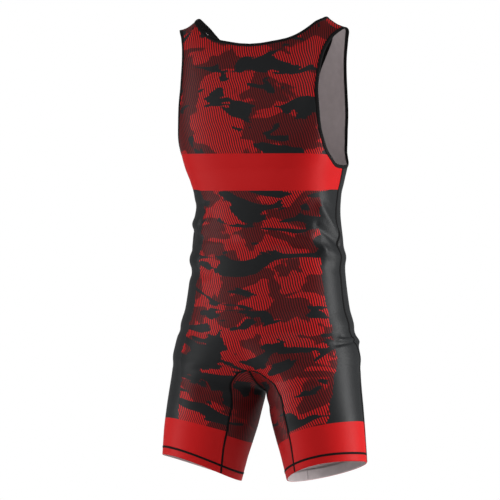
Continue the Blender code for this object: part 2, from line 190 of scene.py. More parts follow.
# %% Smooth curves through a table
def eased(points, at):
    """A smooth curve through (at, value) points that never overshoots them."""
    xs, ys = [p[0] for p in points], [p[1] for p in points]
    slopes = [(ys[i + 1] - ys[i]) / (xs[i + 1] - xs[i]) for i in range(len(xs) - 1)]
    at = min(max(at, xs[0]), xs[-1])
    i = min(max(j for j in range(len(xs)) if xs[j] <= at), len(xs) - 2)

    def tangent(j):
        if j in (0, len(xs) - 1):
            return slopes[min(j, len(slopes) - 1)]
        a, b = slopes[j - 1], slopes[j]
        return 0.0 if a * b <= 0 else 2 * a * b / (a + b)

    width = xs[i + 1] - xs[i]
    s = (at - xs[i]) / width
    return (
        ys[i] * (1 + 2 * s) * (1 - s) ** 2
        + ys[i + 1] * s * s * (3 - 2 * s)
        + width * (tangent(i) * s * (1 - s) ** 2 - tangent(i + 1) * s * s * (1 - s))
    )


def smooth(share):
    share = np.clip(share, 0.0, 1.0)
    return share * share * (3 - 2 * share)


DENSE = np.arange(0.0, HEM_DOWN + 0.5, 0.5)
COLUMNS = {
    name: np.array([eased([(row.down, getattr(row, name)) for row in SECTIONS], d) for d in DENSE])
    for name in Section._fields[1:]
}


def section_at(down):
    return Section(down, *(np.interp(down, DENSE, COLUMNS[name]) for name in Section._fields[1:]))


print("chest depth", round(float(section_at(200.0).back + section_at(200.0).front)), "mm")


# %% Points of the smooth cloth
def arch_profile():
    """(down, rise) down the side of the shoulder: the rise is 1 at its top, 0 at the underarm."""
    power = 2 / ARCH
    angle = np.radians(np.linspace(90, 0, 181))
    rise = np.sin(angle) ** power
    away = ARCH_DEPTH * np.cos(angle).clip(0) ** power
    steps = np.hypot(np.diff(away), UNDERARM_DROP * np.diff(rise))
    length = np.concatenate([[0.0], np.cumsum(steps)])
    return length * UNDERARM_DOWN / length[-1], rise


ARCH_LENGTHS, ARCH_RISES = arch_profile()
CREST_XS = np.arange(0.0, 181.0)
CREST_ZS = np.array([eased(CREST, x) for x in CREST_XS])


def middle_rounding(down):
    """How far the cloth stays from the middle where it rounds over between the legs."""
    return FORK_ROUNDING * smooth((down - ROUNDING_FROM) / ROUNDING_OVER)


def cloth(down, turn, side):
    """Points (x, y, z) of the smooth cloth, for arrays of down and turn on one side."""
    down, turn = np.broadcast_arrays(np.asarray(down, float), np.asarray(turn, float))
    s = section_at(down)
    angle = np.radians(turn)
    cosine, sine, power = np.cos(angle), np.sin(angle), 2 / s.squareness
    x = s.centre_x + s.half_width * np.sign(cosine) * np.abs(cosine) ** power
    y = s.centre_y + np.where(sine > 0, s.back, s.front) * np.sign(sine) * np.abs(sine) ** power
    rise = np.interp(down, ARCH_LENGTHS, ARCH_RISES)
    arch = np.where(y > CREST_Y, BACK_ARCH, FRONT_ARCH)
    arch_y = CREST_Y + (y - CREST_Y) * np.maximum(1 - rise**arch, 0) ** (1 / arch)
    arch_z = (np.interp(x, CREST_XS, CREST_ZS) + UNDERARM_DROP) * rise - UNDERARM_DROP
    leg = smooth((down - FORK_DOWN) / (HEM_DOWN - FORK_DOWN))
    z = UNDERARM_DOWN - UNDERARM_DROP - down + s.side_rise * (x - s.centre_x)
    z = z + (s.back_rise + HEM_TILT[side] * leg) * (y - s.centre_y)
    z = z + HEM_LIFT * leg * np.maximum(sine, 0) ** 2
    above = down < UNDERARM_DOWN
    y, z = np.where(above, arch_y, y), np.where(above, arch_z, z)
    x = np.sqrt(np.maximum(x * x - middle_rounding(down) ** 2, 0)) * np.sign(x)
    return np.stack([side * x, y - CREST_Y, z], axis=-1)


print("the left hem lies", -round(float(cloth(HEM_DOWN, 90.0, 1)[2])), "mm below the shoulder")

# %% [markdown]
# ## Where the cloth is cut
#
# Two panels, front and back, run from the straps to the hems. They meet at the side seams. A gusset
# on each inner leg gives room to move. The neck and the armholes are curves that the panels stop
# at. Each edge is a small table of turns or half-widths.

# %% Seams and openings
SIDE_SEAM = [
    (0, 0), (200, 0), (293.5, -4), (318, -5), (340, -4), (373, -1), (423, 0.6), (484, 0.4),
    (544, 1.7), (580, 1.5), (626, -5), (650, -6), (672, -4), (710, 2), (760, 1), (834, -7),
]
Edge = namedtuple("Edge", "down back front")
ARMHOLE_LOW = 293.5
ARMHOLE = [
    Edge(0, 26, 26), Edge(20, 30.5, 21.8), Edge(44.5, 37.6, 27.8), Edge(77, 43, 35.9),
    Edge(107.6, 44.8, 41.2), Edge(147, 45.3, 45.4), Edge(185, 41.9, 47.3), Edge(223.6, 37.2, 47.2),
    Edge(262, 26, 42), Edge(280.5, 14.5, 32), Edge(293.5, 0, 0),
]
BACK_NECK_LOW, FRONT_NECK_LOW = 83.5, 176.0
BACK_NECK = [
    (0, 129), (14, 128.4), (28, 124), (42, 114.6), (54, 104), (65, 89.5), (73, 71), (79.5, 38),
    (83.5, 0),
]
FRONT_NECK = [
    (0, 129), (12, 128.6), (25, 127), (42, 122), (66, 110), (90, 94), (112, 79), (134, 65),
    (154, 49), (168, 30), (176, 0),
]
ARCH_TOP = 645.5
GUSSET_SEAM = [
    (650, 126.4), (660, 127), (672, 126), (683, 124.6), (711, 124.4), (768, 126), (834, 131),
]
SIDE_SEAM_TWIST = (600.0, 90.0)  # where the seam starts to turn with its leg, and over what length
GUSSET_TWIST = (ARCH_TOP, 65.0)
print(len(ARMHOLE), "points on an armhole's edge and", len(BACK_NECK), "on the back neck's")


# %% Turns of the edges
def turn_of_x(down, x):
    """The turn at which a section reaches this distance from the middle."""
    s = section_at(down)
    share = (x - s.centre_x) / s.half_width
    return math.degrees(math.acos(np.sign(share) * min(abs(share), 1.0) ** (s.squareness / 2)))


def middle_turn(down):
    return turn_of_x(down, middle_rounding(down))


def twist(down, side, start, length):
    return LEG_TWIST[side] * smooth((down - start) / length)


def side_turn(down, face, side):
    """The signed turn of a panel's outer edge: the armhole above, the side seam below."""
    middle = eased(SIDE_SEAM, down)
    if down >= ARMHOLE_LOW:
        return middle + twist(down, side, *SIDE_SEAM_TWIST)
    name = "back" if face > 0 else "front"
    squares = [(edge.down, getattr(edge, name) ** 2) for edge in ARMHOLE]  # these round its low end
    return middle + face * math.sqrt(eased(squares, down))


def gusset_seam(down):
    """The turn of the gusset's seam before its leg's twist. It starts out straight across."""
    first_down, first_turn = GUSSET_SEAM[0]
    if down >= first_down:
        return eased(GUSSET_SEAM, down)
    share = max(down - ARCH_TOP, 0) / (first_down - ARCH_TOP)
    start = middle_turn(ARCH_TOP)
    return start + (first_turn - start) * math.sqrt(share)


def inner_turn(down, face, side):
    """The signed turn of a panel's inner edge: the neck, then the middle, then the gusset."""
    neck, low = (BACK_NECK, BACK_NECK_LOW) if face > 0 else (FRONT_NECK, FRONT_NECK_LOW)
    if down < low:
        half = math.sqrt(max(eased([(d, x * x) for d, x in neck], down), 0))
        return face * turn_of_x(down, half)
    if down <= ARCH_TOP:
        return face * middle_turn(down)
    return face * gusset_seam(down) + twist(down, side, *GUSSET_TWIST)


print("the back neck dips", BACK_NECK_LOW, "mm and the front neck", FRONT_NECK_LOW, "mm")

# %% [markdown]
# ## Rows and columns
#
# Cloth bends softly only where its mesh is fine, so each panel is a grid of cells about 4 mm wide.
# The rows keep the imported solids' rows and put more between them. On each row the points are
# spaced evenly along the cloth, so no cell is stretched.

# %% Rows, and how a panel is spread along them
SOLID_ROWS = [
    0, 9, 19, 30, 41, 52, 62, 70, 76.5, 81, 83.5, 89, 98, 108, 119, 130, 141, 151, 160, 167, 172.5,
    176, 180, 188, 198, 210, 223, 236, 249, 260, 269, 277, 284, 289.5, 293.5, 299, 307, 318, 331,
    345, 360, 376, 393, 410, 427, 444, 461, 478, 496, 515, 535, 556, 577, 597, 614, 628, 638, 645.5,
    648.5, 653, 659, 666, 672, 679, 688, 699, 712, 727, 743, 760, 778, 797, 816, 834,
]
CELL = 4.0
ARMHOLE_LOW_ROWS = [292.5, 293.1]  # close together, where the armhole turns along the row
HALF_COLUMNS, GUSSET_COLUMNS = 46, 36


def finer_rows():
    rows = [float(SOLID_ROWS[0])]
    for start, end in zip(SOLID_ROWS, SOLID_ROWS[1:]):
        count = max(math.ceil((end - start) / CELL), 2)
        rows += [start + (end - start) * (k + 1) / count for k in range(count)]
    return rows


ROWS = sorted([*finer_rows(), *ARMHOLE_LOW_ROWS])


def spread(down, start, end, side, columns):
    """Turns that space a row's points evenly along the cloth."""
    fine = np.linspace(start, end, 6 * columns + 1)
    steps = np.linalg.norm(np.diff(cloth(down, fine, side), axis=0), axis=1)
    length = np.concatenate([[0.0], np.cumsum(steps)])
    return np.interp(np.linspace(0, length[-1], columns + 1), length, fine)


def panel_half(face, side):
    """(down, turn) of one half of a panel, from the side inwards."""
    rows = []
    for down in ROWS:
        ends = side_turn(down, face, side), inner_turn(down, face, side)
        turns = spread(down, *ends, side, HALF_COLUMNS)
        rows.append(np.stack([np.full(HALF_COLUMNS + 1, down), turns], axis=-1))
    return np.array(rows)


print(len(ROWS), "rows by", 2 * HALF_COLUMNS, "columns in a panel")

# %% Columns of a gusset
HALVINGS = 40  # of the search for a place between the arch and the fork


def middle_down(share):
    """Where the gusset's column at this share of the way round leaves the middle."""
    low, high = ARCH_TOP, FORK_DOWN
    for _ in range(HALVINGS):
        down = (low + high) / 2
        seam = gusset_seam(down)
        if (middle_turn(down) - seam) / (180 - seam) < share:
            low = down
        else:
            high = down
    return (low + high) / 2


def gusset_column(share, face, side):
    """(down, turn) from the arch to the hem. The twist dies away towards the leg's inmost line."""
    top = {0: ARCH_TOP, 1: FORK_DOWN}.get(share) or middle_down(share)
    column = []
    for row in ROWS[ROWS.index(ARCH_TOP):]:
        down = top + (HEM_DOWN - top) * (row - ARCH_TOP) / (HEM_DOWN - ARCH_TOP)
        seam, middle = gusset_seam(down), middle_turn(down)
        turn = middle if row == ARCH_TOP else seam + share * (180 - seam)
        held = (turn - seam) / max(middle - seam, 0.001)
        column.append((down, face * turn + twist(down, side, *GUSSET_TWIST) * (1 - held)))
    return column


def gusset_grid(side):
    """A gusset from its back seam, round the inside of the leg, to its front seam."""
    half = GUSSET_COLUMNS // 2
    behind = [gusset_column(j / half, 1, side) for j in range(half + 1)]
    in_front = [gusset_column(j / half, -1, side) for j in reversed(range(half))]
    return np.array(behind + in_front).transpose(1, 0, 2)


print(GUSSET_COLUMNS, "columns in a gusset")

# %% [markdown]
# ## Creases
#
# A worn singlet gathers where the body bends: at the waist, and at the hips. Each crease is a soft
# ridge or trough that runs from one point of the cloth to another and fades at its ends. The first
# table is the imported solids' own. The second adds the narrow ones, and similar ones in front.

# %% The folds and creases
Fold = namedtuple("Fold", "side down turn to_down to_turn width height")
FOLDS = [
    Fold(-1, 364, 24, 419, -4, 11, 4.5),
    Fold(-1, 396, 30, 428, 2, 8, -4),
    Fold(-1, 404, 60, 418, 42, 12, 2.5),
    Fold(-1, 418, 42, 440, 26, 11, 4.5),
    Fold(-1, 440, 26, 456, -6, 11, 4.5),
    Fold(-1, 428, 70, 449, 30, 13, -3),
    Fold(-1, 450, -12, 462, -50, 12, 3.5),
    Fold(-1, 597, 16, 597, -6, 6, -2.5),
    Fold(-1, 605, 20, 603, -10, 6, 2.5),
    Fold(-1, 616, 28, 609, -8, 6, -3.5),
    Fold(-1, 610, -20, 613, -60, 9, 3.5),
    Fold(1, 361, 15, 358, 60, 11, -2),
    Fold(1, 378, 56, 412, 47, 9, 3),
    Fold(1, 393, 2, 393, 40, 10, 4),
    Fold(1, 417, 25, 417, 85, 10, -3.5),
    Fold(1, 455, 2, 460, 45, 13, 3.5),
    Fold(1, 482, 15, 484, 60, 9, -3),
    Fold(1, 398, -12, 424, -60, 12, 4),
    Fold(1, 430, -8, 456, -72, 12, -3.5),
    Fold(-1, 396, -35, 424, -72, 11, 3.5),
    Fold(-1, 428, -28, 450, -76, 12, -3),
    Fold(1, 604, 12, 600, -30, 8, -2.5),
    Fold(1, 697, 100, 694, 160, 9, -1.5),
    Fold(-1, 704, 120, 700, 170, 9, -1.5),
]
CREASES = [
    Fold(-1, 599, 22, 600, 2, 2.6, -1.3),
    Fold(-1, 611, 30, 606, 4, 2.6, -1.5),
    Fold(-1, 593, 12, 592, -8, 3.5, 0.9),
    Fold(-1, 622, 22, 616, 2, 3.5, 0.8),
    Fold(-1, 388, 18, 410, 4, 4, -1.2),
    Fold(-1, 444, 34, 462, 14, 4.5, -1.1),
    Fold(-1, 470, 20, 480, 2, 6, -0.9),
    Fold(1, 404, 4, 406, 34, 4.5, -1.3),
    Fold(1, 470, 6, 474, 40, 5, -1.2),
    Fold(1, 428, 40, 432, 78, 5, 0.8),
    Fold(1, 440, 10, 446, 50, 5, -0.8),
    Fold(1, 598, 8, 596, -16, 3, -1.1),
    Fold(1, 690, 60, 688, 104, 5, -0.7),
    Fold(-1, 690, 60, 694, 104, 5, -0.7),
    Fold(1, 640, 100, 652, 70, 6, 0.9),
    Fold(-1, 640, 100, 654, 66, 6, 0.9),
    Fold(1, 652, 96, 668, 76, 6, -0.8),
    Fold(-1, 652, 96, 670, 74, 6, -0.8),
    Fold(1, 412, -20, 440, -66, 5, -1.1),
    Fold(-1, 410, -40, 436, -74, 5, -1.0),
    Fold(1, 640, -100, 654, -72, 6, 0.9),
    Fold(-1, 640, -100, 652, -70, 6, 0.9),
]
print(len(FOLDS), "folds and", len(CREASES), "creases")

# %% How the folds move the cloth
MIDDLE_TURNS = np.array([middle_turn(d) for d in DENSE])
FADE_TURNS = 12.0
TRUNK_RADIUS, LEG_RADIUS, LEGS_FROM = 130.0, 80.0, 640.0  # these turn degrees into millimetres


def middle_fade(down, turn):
    """1 over most of a section and 0 at its middle, so that both halves of a panel meet."""
    turns = np.interp(down, DENSE, MIDDLE_TURNS)
    fade = smooth((turns - np.abs(turn)) / FADE_TURNS)
    return np.where((down >= BACK_NECK_LOW) & (down < FORK_DOWN), fade, 1.0)


def fold_height(down, turn, side):
    """How far the folds and creases move a point of the cloth outwards, in millimetres."""
    total = np.zeros(np.shape(down))
    radius = np.where(down < LEGS_FROM, TRUNK_RADIUS, LEG_RADIUS)
    for fold in FOLDS + CREASES:
        if fold.side != side:
            continue
        reach = fold.to_down - fold.down
        sweep = math.radians(fold.to_turn - fold.turn) * radius
        away = np.radians((turn - fold.turn + 180) % 360 - 180) * radius
        along = ((down - fold.down) * reach + away * sweep) / (reach**2 + sweep**2)
        along = np.clip(along, 0.0, 1.0)
        gap = np.hypot(down - fold.down - along * reach, away - along * sweep)
        total += fold.height * np.exp(-((gap / fold.width) ** 2))
    return total * middle_fade(down, turn)


print("height of the left waist's crease:", round(float(fold_height(393.0, 20.0, 1)), 1), "mm")

# %% [markdown]
# ## From coordinates to cloth
#
# The pieces meet along seams, so their normals there have to agree, or a seam would show as a
# hard edge. The normals are summed over all the pieces at once, the folds move the points along
# them, and the normals are taken again from the folded cloth.


# %% Shared normals
def grid_quads(shape, first):
    index = np.arange(shape[0] * shape[1]).reshape(shape) + first
    return np.stack([index[:-1, :-1], index[1:, :-1], index[1:, 1:], index[:-1, 1:]], axis=-1)


def shared_normals(grids, outward):
    """Normals at every point of several grids, shared where their points coincide."""
    sizes = [g.shape[0] * g.shape[1] for g in grids]
    firsts = np.cumsum([0] + sizes)
    points = np.concatenate([g.reshape(-1, 3) for g in grids])
    _, keys = np.unique(np.round(points, 3), axis=0, return_inverse=True)
    keys = keys.reshape(-1)
    total = np.zeros((keys.max() + 1, 3))
    for grid, first, sign in zip(grids, firsts, outward):
        quads = grid_quads(grid.shape[:2], first).reshape(-1, 4)
        corner = points[quads]
        across = np.cross(corner[:, 2] - corner[:, 0], corner[:, 3] - corner[:, 1]) * sign
        for c in range(4):
            np.add.at(total, keys[quads[:, c]], across)
    normals = total[keys]
    normals /= np.linalg.norm(normals, axis=1, keepdims=True)
    return [normals[a:b].reshape(g.shape) for a, b, g in zip(firsts, firsts[1:], grids)]


KEYS = [("back", 1), ("back", -1), ("front", 1), ("front", -1), ("gusset", 1), ("gusset", -1)]
FACES = {"back": 1, "front": -1}
coordinates = {
    key: gusset_grid(key[1]) if key[0] == "gusset" else panel_half(FACES[key[0]], key[1])
    for key in KEYS
}
OUTWARD = [1, -1, -1, 1, 1, -1]
smooth_points = [cloth(coordinates[k][..., 0], coordinates[k][..., 1], k[1]) for k in KEYS]
smooth_normals = shared_normals(smooth_points, OUTWARD)
folded = [
    p + n * fold_height(coordinates[k][..., 0], coordinates[k][..., 1], k[1])[..., None]
    for k, p, n in zip(KEYS, smooth_points, smooth_normals)
]
points = dict(zip(KEYS, folded))
normals = dict(zip(KEYS, shared_normals(folded, OUTWARD)))
for key in KEYS:
    facing = (normals[key] * (points[key] - points[key].mean(axis=(0, 1)))).sum(axis=-1).mean()
    print(key, points[key].shape[:2], "facing", round(float(facing), 1))


# %% [markdown]
# ## Shader maths
#
# A printed knit is mostly arithmetic: lines, patches and edges. A small class turns Python
# expressions into Math nodes, so that the pattern can be read as a formula. One method makes any
# other node.


# %% Values that vary over a surface
class Value:
    """A number on a surface: operators on it add Math nodes."""

    def __init__(self, finish, socket):
        self.finish, self.socket = finish, socket

    def math(self, operation, *values):
        return self.finish.node("ShaderNodeMath", {"operation": operation}, dict(enumerate(values)))

    def __add__(self, other):
        return self.math("ADD", self, other)

    def __sub__(self, other):
        return self.math("SUBTRACT", self, other)

    def __rsub__(self, other):
        return self.math("SUBTRACT", other, self)

    def __mul__(self, other):
        return self.math("MULTIPLY", self, other)

    __radd__, __rmul__ = __add__, __mul__

    def sine(self):
        return self.math("SINE", self)

    def size(self):
        return self.math("ABSOLUTE", self)

    def above(self, edge, soft):
        """0 below the edge and 1 above it, with a soft step."""
        settings = {"interpolation_type": "SMOOTHSTEP"}
        inputs = {"Value": self, "From Min": edge - soft, "From Max": edge + soft}
        return self.finish.node("ShaderNodeMapRange", settings, inputs)


print("values on a surface can be added, subtracted and multiplied")


# %% A material and its nodes
class Finish:
    """One material and its nodes."""

    def __init__(self, name, roughness=0.5, **fixed):
        self.material = bpy.data.materials.new(name)
        self.material.use_nodes = True
        self.tree = self.material.node_tree
        self.shader = self.tree.nodes["Principled BSDF"]
        self.shader.inputs["Roughness"].default_value = roughness
        for socket, value in fixed.items():
            self.shader.inputs[socket.replace("_", " ")].default_value = value

    def node(self, kind, settings=None, inputs=None, output=0):
        made = self.tree.nodes.new(kind)
        for name, value in (settings or {}).items():
            setattr(made, name, value)
        for name, value in (inputs or {}).items():
            self.give(made.inputs[name], value)
        return Value(self, made.outputs[output])

    def give(self, socket, value):
        if isinstance(value, Value):
            self.tree.links.new(value.socket, socket)
        else:
            socket.default_value = value

    def set(self, name, value):
        self.give(self.shader.inputs[name], value)

    def mix(self, share, first, second):
        """A colour between two colours."""
        inputs = {0: share, 6: first, 7: second}
        return self.node("ShaderNodeMix", {"data_type": "RGBA"}, inputs, output=2)

    def attribute(self, name):
        return self.node("ShaderNodeAttribute", {"attribute_name": name}, output=2)

    def flat(self):
        """Metres across and down the flat cloth, from its own UV map."""
        uv = self.node("ShaderNodeUVMap", {"uv_map": "cloth"})
        split = self.tree.nodes.new("ShaderNodeSeparateXYZ")
        self.tree.links.new(uv.socket, split.inputs[0])
        return Value(self, split.outputs[0]), Value(self, split.outputs[1])

    def noise(self, across, down, layer, scale, detail=1.0, distortion=0.0):
        place = self.node("ShaderNodeCombineXYZ", {}, {0: across, 1: down, 2: layer})
        inputs = {"Vector": place, "Scale": scale, "Detail": detail, "Distortion": distortion}
        return self.node("ShaderNodeTexNoise", {}, inputs)

    def bump(self, height, distance, strength=1.0):
        inputs = {"Height": height, "Distance": distance, "Strength": strength}
        self.set("Normal", self.node("ShaderNodeBump", {}, inputs))


TURN = 2 * math.pi  # times a length over a pitch, this is the angle that a sine takes
BLACK = (0.0105, 0.0115, 0.0125, 1)
RED = (0.50, 0.0085, 0.0095, 1)
print("the band's red is", round(RED[0] / RED[1]), "times as bright in red as in green")

# %% [markdown]
# ## The printed knit
#
# The print is dyed into a smooth white knit, so it has no relief of its own. Fine slanted ripples
# carry the red, in a bright and a dark tone, and rounded black patches lie over them. Where the
# print ends and where a red band begins are lengths on the cloth, kept on the mesh as attributes,
# so their edges stay straight however the cloth bends.

# %% The knit and its pattern (lengths in metres)
KNIT_ROW, KNIT_COLUMN = 0.0011, 0.0009
OUTSIDE_RELIEF, INSIDE_RELIEF = 0.00004, 0.00009
RIPPLE_PITCH, RIPPLE_LEAN = 0.0046, 0.36
SWAY_LENGTH, SWAY_UNEVENNESS, SWAY_AMOUNT = 0.041, 6.0, 1.1  # how the ripples wander
RIPPLE_GROUND = (0.021, 0.005, 0.005, 1)
TONE_SCALE, PATCH_SCALE = 13.0, 13.5  # of the noise: about this many motifs in a metre


def knit(finish, across, down, relief):
    """The knit's tiny loops, with a slow unevenness."""
    loops = (across * (TURN / KNIT_COLUMN)).sine() * (down * (TURN / KNIT_ROW)).sine()
    uneven = finish.noise(across, down, 4.0, 90.0, detail=3.0)
    finish.bump(loops * 0.5 + uneven * 2.2, relief)
    return uneven


def camouflage(finish, across, down, bright, dark, bare):
    """Slanted ripples in two reds, with rounded black patches where the noise is above bare."""
    wander = finish.noise(across, down, 7.0, 9.0) * SWAY_UNEVENNESS
    sway = (down * (TURN / SWAY_LENGTH) + wander).sine() * SWAY_AMOUNT
    slanted = across + down * RIPPLE_LEAN
    ripples = (slanted * (TURN / RIPPLE_PITCH) + sway).sine().above(0.12, 0.5)
    tone = finish.noise(across, down * 1.5, 2.0, TONE_SCALE, detail=2.0, distortion=0.5)
    patch = finish.noise(across * 0.8, down * 1.7, 11.0, PATCH_SCALE, detail=2.5, distortion=0.9)
    red = finish.mix(tone.above(0.5, 0.012), bright, dark)
    striped = finish.mix(ripples, RIPPLE_GROUND, red)
    return finish.mix(patch.above(bare, 0.006), striped, BLACK)


print("the ripples lie", round(RIPPLE_PITCH / MM, 1), "mm apart")

# %% Printed cloth
EDGE_SOFTNESS = 0.35  # millimetres on each side of a printed edge
RAGGED_SCALE = 26.0  # of the noise along the print's outer edge
RAGGED_REACH = 26.0  # the millimetres over which that noise moves it
BLACK_SHEEN, SHEEN_LOST_IN_PRINT = 0.24, 0.15


def printed_finish(name, bright, dark, band, bare):
    """Camouflage within the print, plain red in the bands and satin black elsewhere."""
    finish = Finish(name, Specular_IOR_Level=0.09, Coat_Roughness=0.4)
    across, down = finish.flat()
    uneven = knit(finish, across, down, OUTSIDE_RELIEF)
    pattern = camouflage(finish, across, down, bright, dark, bare)
    ragged = finish.noise(across * 0.8, down * 1.6, 15.0, RAGGED_SCALE, detail=2.5, distortion=0.8)
    reach = finish.attribute("print_reach") + (ragged - 0.5) * RAGGED_REACH
    inside_print = reach.above(0.0, EDGE_SOFTNESS)
    in_band = finish.attribute("band_reach").above(0.0, EDGE_SOFTNESS)
    cloth_colour = finish.mix(inside_print, BLACK, pattern)
    finish.set("Base Color", finish.mix(in_band, cloth_colour, band))
    finish.set("Roughness", uneven * 0.12 + 0.4)
    sheen = BLACK_SHEEN - inside_print * SHEEN_LOST_IN_PRINT
    finish.set("Coat Weight", (1.0 - in_band) * sheen)
    return finish.material


def inside_finish():
    """The back of the knit, which the dye hardly reaches."""
    finish = Finish("cloth_inside", roughness=0.8, Specular_IOR_Level=0.1)
    across, down = finish.flat()
    uneven = knit(finish, across, down, INSIDE_RELIEF)
    greyer, paler = (0.49, 0.43, 0.435, 1), (0.64, 0.57, 0.575, 1)
    finish.set("Base Color", finish.mix(uneven, greyer, paler))
    return finish.material


panel_cloth = printed_finish(
    "printed_cloth",
    bright=(0.62, 0.011, 0.012, 1), dark=(0.15, 0.006, 0.007, 1), band=RED, bare=0.56,
)
gusset_cloth = printed_finish(
    "gusset_cloth",
    bright=(0.27, 0.007, 0.008, 1), dark=(0.14, 0.006, 0.007, 1), band=(0.4, 0.008, 0.009, 1),
    bare=0.66,
)
cloth_inside = inside_finish()
print("printed cloth, darker gusset cloth and their inside")

# %% [markdown]
# ## Panels and gussets
#
# A grid from bmesh is the right start for a sheet of cloth: its points are moved onto the folded
# form. The leg's hem is the same cloth turned up inside, so the grid goes on round the fold and
# back up. Solidify then gives the knit its thickness, with the inside's own finish.

# %% Helpers for sheets
KNIT_THICKNESS, RIBBON_THICKNESS = 1.0, 0.8
OUTER = KNIT_THICKNESS / 2
HEM_TURN, HEM_GAP = 20.0, 2.1
SAME_POINT = 0.000005  # metres: points as near as this are merged


def lay_grid(bm, shape):
    """A flat grid's vertices, as an array of rows and columns."""
    rows, columns = shape
    made = bmesh.ops.create_grid(bm, x_segments=columns - 1, y_segments=rows - 1, size=1)["verts"]
    table = np.empty(shape, object)
    for v in made:
        table[round((v.co.y + 1) / 2 * (rows - 1)), round((v.co.x + 1) / 2 * (columns - 1))] = v
    return table


def shape_grid(bm, places, outward, values):
    """Adds a grid at these places, facing outward, with its attributes and UV map."""
    layers = {n: bm.verts.layers.float.get(n) or bm.verts.layers.float.new(n) for n in values}
    table = lay_grid(bm, places.shape[:2])
    for (r, c), v in np.ndenumerate(table):
        v.co = Vector(places[r, c]) * MM
        for name, layer in layers.items():
            v[layer] = values[name][r, c]
    faces = list({f for v in table.flat for f in v.link_faces})
    sample = table.shape[0] // 3, table.shape[1] // 2
    face = table[sample].link_faces[0]
    face.normal_update()
    if face.normal.dot(Vector(outward[sample])) < 0:
        bmesh.ops.reverse_faces(bm, faces=faces)
    return table


def finish_piece(name, bm, materials, thickness=None):
    """Turns a bmesh into a piece that rides on the body."""
    uv = bm.loops.layers.uv.new("cloth")
    across, down = (bm.verts.layers.float.get(n) for n in ("across", "down"))
    for face in bm.faces:
        face.smooth = True
        for loop in face.loops:
            loop[uv].uv = (loop.vert[across], loop.vert[down])
    mesh = bpy.data.meshes.new(name)
    bm.to_mesh(mesh)
    bm.free()
    piece = bpy.data.objects.new(name, mesh)
    bpy.context.scene.collection.objects.link(piece)
    for material in materials:
        mesh.materials.append(material)
    if thickness:
        wall = piece.modifiers.new("thickness", "SOLIDIFY")
        wall.thickness, wall.offset, wall.material_offset = thickness * MM, -1, 1
    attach(piece, "root")
    return piece


print("cloth", KNIT_THICKNESS, "mm thick with", HEM_TURN, "mm of hem")


# %% Lengths on the cloth
def lengths_along(places):
    """Millimetres from each row's last point, towards its first."""
    steps = np.linalg.norm(np.diff(places, axis=1), axis=2)
    lengths = np.cumsum(steps[:, ::-1], axis=1)[:, ::-1]
    return np.concatenate([lengths, np.zeros((len(places), 1))], axis=1)


BELOW_BAND = {
    -1: [(351, 24), (420, 29), (528, 27), (582, 25), (669, 37), (768, 58), (834, 60)],
    1: [(351, 50), (588, 45), (669, 63), (768, 72), (834, 74)],
}
PRINT_EDGE = {  # (down, turn) where the printed part gives way to the black side
    ("back", -1): [(332.9, 0), (333, 24), *BELOW_BAND[-1]],
    ("back", 1): [(332.9, 0), (333, 50), *BELOW_BAND[1]],
    ("front", -1): [(240, 20), (270, 47), (351, 45), (420, 40), *BELOW_BAND[-1][2:]],
    ("front", 1): [(240, 20), (270, 47), *BELOW_BAND[1]],
}
CHEST_BAND = (269.0, 333.0)
BLACK_FROM = {"back": CHEST_BAND[1], "front": 240.0}  # above this the sides are printed too
WHOLLY_PRINTED = 50.0  # a reach beyond the ragged edge's own
LEG_BAND = {1: (771.0, 759.0), -1: (765.0, 768.0)}  # its top at the side and at the gusset
GUSSET_BAND = {1: 765.0, -1: 774.0}
GUSSET_TURN = 124.0  # about where the panels meet the gusset
MM_PER_TURN = 2.3


def panel_values(key):
    """What the finish needs to know at each point of a half panel."""
    down, turn = coordinates[key][..., 0], np.abs(coordinates[key][..., 1])
    side = key[1]
    edge = np.interp(down, *zip(*PRINT_EDGE[key]))
    reach = np.where(down < BLACK_FROM[key[0]], WHOLLY_PRINTED, (turn - edge) * MM_PER_TURN)
    chest = np.minimum(np.minimum(down - CHEST_BAND[0], CHEST_BAND[1] - down), reach)
    at_side, at_gusset = LEG_BAND[side]
    leg = down - (at_side + (at_gusset - at_side) * turn / GUSSET_TURN)
    inner = np.abs(points[key][:, -1, 0])[:, None]
    across = side * (lengths_along(points[key]) + inner)
    return {
        "across": across * MM, "down": down * MM, "print_reach": reach,
        "band_reach": np.maximum(chest, leg),
    }


def gusset_values(key):
    down = coordinates[key][..., 0]
    lengths = lengths_along(points[key])
    across = lengths - lengths[:, GUSSET_COLUMNS // 2][:, None]
    return {
        "across": across * MM, "down": down * MM,
        "print_reach": np.full(down.shape, WHOLLY_PRINTED),
        "band_reach": down - GUSSET_BAND[key[1]],
    }


values = {k: gusset_values(k) if k[0] == "gusset" else panel_values(k) for k in KEYS}
half_back = float(np.ptp(values["back", 1]["across"])) / MM
print("across the back at its widest:", round(2 * half_back), "mm")


# %% Turning up the hems
def with_hem(key):
    """The outer face's points, then the fold, then the turned-up cloth inside the leg."""
    p, n, v = points[key], normals[key], values[key]
    along = p[-1] - p[-2]
    along /= np.linalg.norm(along, axis=1, keepdims=True)
    radius = (OUTER + HEM_GAP) / 2
    fold = [
        p[-1] + n[-1] * (OUTER - radius + radius * math.cos(a)) + along * radius * math.sin(a)
        for a in np.radians((45, 90, 135))
    ]
    count = round(HEM_TURN / CELL)
    up = [p[-1 - k] - n[-1 - k] * HEM_GAP for k in range(count + 1)]
    places = np.concatenate([p + n * OUTER, fold, up])
    rows = list(range(len(p))) + [len(p) - 1] * 3 + [len(p) - 1 - k for k in range(count + 1)]
    return places, {name: value[rows] for name, value in v.items()}, len(p) + 2


